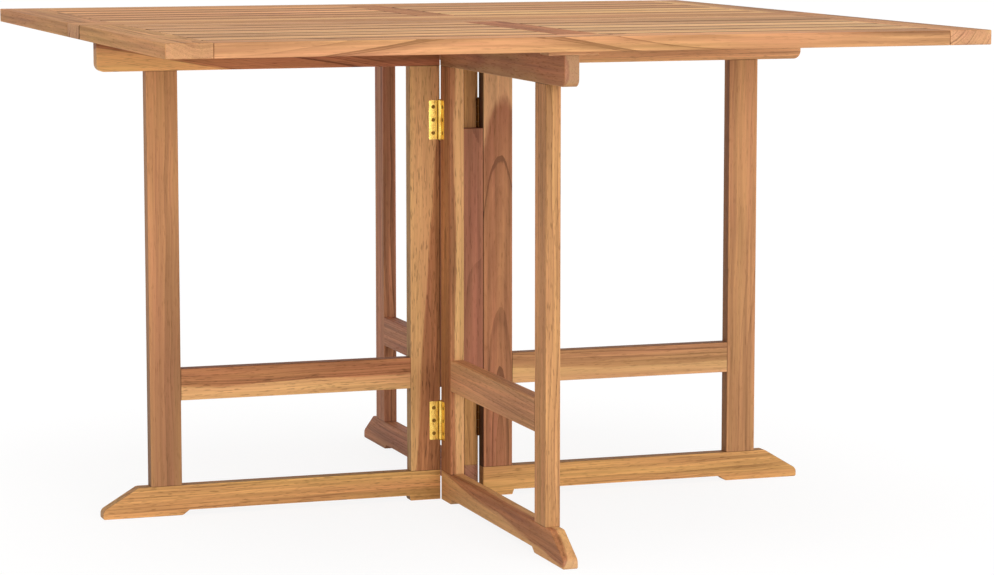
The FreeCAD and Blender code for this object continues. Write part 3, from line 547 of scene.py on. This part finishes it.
# Boards that the front view shows plainly: lengths in metres, the rest as shares
SHOWN_BOARDS = {
    "left_leg": dict(tone="hazel", pith=(0.10, 0.12, 0), lean=(0.004, 0, 0), lines=0.25, streaks=0.22,
                     pores=0.16, fade=0.25, seed=7.0),
    "right_leg": dict(tone="tan", pith=(0.06, 0.07, 0), lean=(0.02, 0.01, 0), lines=0.4, streaks=0.36,
                      pores=0.16),
    "left_post": dict(tone="brown", pith=(0.054, 0.020, 0), lean=(0.08, 0, 0), sap=0.0546, lines=0.2,
                      pores=0.42),
    "right_post": dict(tone="russet", pith=(0.004, 0.0195, 0), lean=(0, 0.10, 0), sap=0.054, ring=0.007,
                       figure=0.008, mark=0.0475),
    "front_gate_post": dict(tone="brown", pith=(-0.050, 0, 0), lean=(0.003, 0, 0), sap=0.0525, lines=0.5,
                            pores=0.38),
    "front_gate_leg": dict(tone="honey", pith=(-0.040, 0.05, 0), lean=(0.01, 0.005, 0), lines=0.4,
                           pores=0.34),
    "spacer_board": dict(tone="plum", pith=(0.03, 0.10, 0), lean=(0.01, 0, 0), lines=0.3),
    "left_stretcher": dict(tone="brown", pith=(0, 0.010, 0.060), lean=(0, 0, 0.006), sap=0.0635, lines=0.3,
                           pores=0.36),
    "right_stretcher": dict(tone="tan", pith=(0, 0.010, 0.064), lean=(0, 0, -0.02), sap=0.068, lines=0.4),
    "left_foot": dict(tone="gold", pith=(0, 0.05, 0.09), lean=(0, 0, 0.01), pores=0.36, lines=0.3),
    "right_foot": dict(tone="gold", pith=(0, 0.06, -0.09), lean=(0, 0, 0.01), pores=0.28, lines=0.3,
                       streaks=0.45),
    "left_top_rail": dict(tone="copper", pith=(0, 0.02, 0.05), lean=(0, 0, -0.2), sap=0.092, lines=0.6),
    "right_top_rail": dict(tone="straw", pith=(0, 0.03, 0.06), lean=(0, 0.02, 0.02)),
    "front_gate_foot": dict(tone="brown", pith=(-0.045, 0, 0.03), lean=(0, 0, 0.08), sap=0.0455,
                            lines=0.25),
    "front_gate_stretcher": dict(tone="amber", pith=(0.03, 0, 0.05), lean=(0, 0, 0.03), lines=0.3,
                                 streaks=0.4),
    "front_gate_top_rail": dict(tone="chestnut", pith=(-0.06, 0, 0), sap=0.0505),
    "front_leaf_outer_rail": dict(tone="amber", pith=(-0.155, 0.02, -0.05), ring=0.012, lines=0.5, pores=0.14,
                                  streaks=0.38, mark=0.0822, bend=-0.85, fade=-0.06, ends=0.2),
    "front_leaf_left_stile": dict(tone="honey", pith=(0.02, 0, 0.06), lines=0.1),
    "front_leaf_right_stile": dict(tone="fawn", pith=(-0.07, 0, 0.05), ring=0.007, lines=1.4, fade=-0.1),
    "front_leaf_middle_stile": dict(tone="walnut", pith=(0.02, 0, 0.06)),
    "back_leaf_middle_stile": dict(tone="brown", pith=(0.03, 0, 0.05)),
    "back_leaf_left_stile": dict(tone="tan", pith=(0.03, 0, 0.05)),
    "spine_board": dict(tone="tan", pith=(0, 0.06, 0.03), ring=0.006, lines=1.3),
    "back_gate_post": dict(tone="gold", pith=(0.02, 0.08, 0)),
    # The back gate's umber pieces carry painted shade in their darker tone
    "back_gate_leg": dict(tone="umber", pith=(0.05, 0.08, 0)),
    "back_gate_foot": dict(tone="umber", pith=(0.05, 0, 0.08)),
    "back_gate_stretcher": dict(tone="umber", pith=(0.05, 0, -0.08)),
    "back_gate_top_rail": dict(tone="umber", pith=(-0.05, 0, 0.08)),
}

# Ranges, in metres, that the other boards' looks are drawn from
PLAIN_TONES = ("brown", "tan", "gold")
PITH_AWAY = (0.05, 0.11)
LEAN_RANGE = (-0.02, 0.02)
SAP_BEYOND_PITH = (0.0, 0.06)
RING_WIDTHS = (0.0035, 0.006)


def plain_look(node):
    """A drawn look for a board that the front view hardly shows."""
    draw = random.Random(f"look of {node}")
    if node.startswith("back_leaf"):
        tone = "fawn"
    elif on_top(node):
        tone = "rose"
    else:
        tone = draw.choice(PLAIN_TONES)
    angle = draw.uniform(0, 2 * math.pi)
    away = draw.uniform(*PITH_AWAY)
    first, second = [AXES[axis] for axis in across_grain(grain_of(node))]
    pith = (first * math.cos(angle) + second * math.sin(angle)) * away
    lean = first * draw.uniform(*LEAN_RANGE) + second * draw.uniform(*LEAN_RANGE)
    sap = away + draw.uniform(*SAP_BEYOND_PITH)
    return dict(tone=tone, pith=pith, lean=lean, sap=sap, ring=draw.uniform(*RING_WIDTHS))


def shade_round_pins(n, place):
    """1 in a ring round the pin of each gate's hinges, where shade is painted, and 0 elsewhere."""
    pin_shade = 0.0
    for joint in frame["joints"]:
        if joint["name"] in HINGE_SHADE_STARTS:
            start = HINGE_SHADE_STARTS[joint["name"]]
            away = n.vector("SUBTRACT", place, joint["pos_m"])
            away = n.length(n.vector("MULTIPLY", away, FLAT))
            inner = n.ramp(away, start, start + HINGE_SHADE_SOFTNESS)
            pin_shade = n.math("MAXIMUM", pin_shade, n.math("MULTIPLY", inner, n.ramp(away, *HINGE_SHADE_END, 1.0, 0.0)))
    return pin_shade


def metal(name, clean, tarnished, rough):
    """Plated metal with uneven tarnish and fine rubbed marks, and painted shade round the pins on the gate hinges'
    plates.
    """
    material, n, shader = principled(name)
    place = n.add("ShaderNodeTexCoord").outputs["Object"]
    tarnish = n.ramp(n.noise(place, **TARNISH_NOISE), *TARNISH_RISE)
    rubbed = n.noise(place, **RUBBED_NOISE)
    colour = n.mix(tarnish, clean, tarnished)
    if name == "brass_plates":
        # Painted shade where the hinge barrels meet their plates
        colour = n.mix(shade_round_pins(n, place), colour, HINGE_SHADE)
    n.feed(shader.inputs["Base Color"], colour)
    n.feed(shader.inputs["Roughness"], n.ramp(rubbed, *RUBBED_RISE, *rough))
    n.feed(shader.inputs["Normal"], n.add("ShaderNodeBump", {"Height": rubbed, **METAL_BUMP}).outputs[0])
    shader.inputs["Metallic"].default_value = 1.0
    return material


def dress_nodes():
    """Put teak on the boards and plated metal on the hinges and screws."""
    group = make_teak_group()
    metals = {name: metal(name, **look) for name, look in METALS.items()}
    slots = {row["node"]: row["material_slot"] for row in frame["record"]["subparts"]}
    for node, thing in frame["nodes"].items():
        if slots[node].startswith("teak"):
            look = SHOWN_BOARDS.get(node) or plain_look(node)
            material = teak(node, group, grain_of(node), **look)
        elif slots[node] == "steel":
            material = metals["steel"]
        else:
            material = metals["brass_screws" if node.endswith("_screws") else "brass_plates"]
        thing.material_slots[0].material = material


def seen_directly(n):
    """1 for rays that show the background: straight, mirrored or refracted."""
    path = n.add("ShaderNodeLightPath").outputs
    glossy = n.math("MAXIMUM", path["Is Glossy Ray"], path["Is Transmission Ray"])
    return n.math("MAXIMUM", path["Is Camera Ray"], glossy)


def make_world():
    """A white surround that lights the table softly."""
    world = bpy.data.worlds.new("studio")
    bpy.context.scene.world = world
    world.use_nodes = True
    world.node_tree.nodes.clear()
    n = Nodes(world.node_tree)
    light = n.add("ShaderNodeBackground", {"Color": WHITE, "Strength": AMBIENT_LEVEL})
    shown = n.add("ShaderNodeBackground", {"Color": WHITE, "Strength": 1.0})
    mixed = n.add("ShaderNodeMixShader", {0: seen_directly(n), 1: light.outputs[0], 2: shown.outputs[0]})
    n.add("ShaderNodeOutputWorld", {"Surface": mixed.outputs[0]})


def make_floor():
    """A white floor that keeps a faint shadow of the table."""
    half = FLOOR_HALF
    corners = [(-half, -half, 0), (half, -half, 0), (half, half, 0), (-half, half, 0)]
    mesh = bpy.data.meshes.new("floor")
    mesh.from_pydata(corners, [], [(0, 1, 2, 3)])
    floor = bpy.data.objects.new("floor", mesh)
    bpy.context.scene.collection.objects.link(floor)
    material = bpy.data.materials.new("floor")
    material.use_nodes = True
    material.node_tree.nodes.clear()
    n = Nodes(material.node_tree)
    paint = n.add("ShaderNodeBsdfDiffuse", {"Color": grey(FLOOR_PAINT)})
    glow = n.add("ShaderNodeEmission", {"Color": WHITE, "Strength": FLOOR_GLOW})
    shade = n.add("ShaderNodeBsdfDiffuse", {"Color": grey(FLOOR_SHADE)})
    shown = n.add("ShaderNodeAddShader", {0: glow.outputs[0], 1: shade.outputs[0]})
    mixed = n.add("ShaderNodeMixShader", {0: seen_directly(n), 1: paint.outputs[0], 2: shown.outputs[0]})
    n.add("ShaderNodeOutputMaterial", {"Surface": mixed.outputs[0]})
    mesh.materials.append(material)


def make_lamp(name, source, level, angle):
    """A broad, even lamp that shines from a direction."""
    lamp = bpy.data.lights.new(name, "SUN")
    lamp.energy = level * math.pi
    lamp.angle = math.radians(angle)
    thing = bpy.data.objects.new(name, lamp)
    thing.rotation_euler = Vector(source).to_track_quat("Z", "Y").to_euler()
    bpy.context.scene.collection.objects.link(thing)


def make_camera():
    """A camera that looks at the table from the front left, a little from above."""
    lens = bpy.data.cameras.new("camera")
    lens.lens = CAMERA_LENS
    camera = bpy.data.objects.new("camera", lens)
    camera.location = CAMERA_PLACE
    camera.rotation_euler = (math.radians(90 - CAMERA_PITCH), 0, math.radians(-CAMERA_YAW))
    bpy.context.scene.collection.objects.link(camera)
    bpy.context.scene.camera = camera


bpy.context.scene.view_settings.view_transform = "Standard"
dress_nodes()
make_world()
make_floor()
for name, lamp in LAMPS.items():
    make_lamp(name, **lamp)
make_camera()
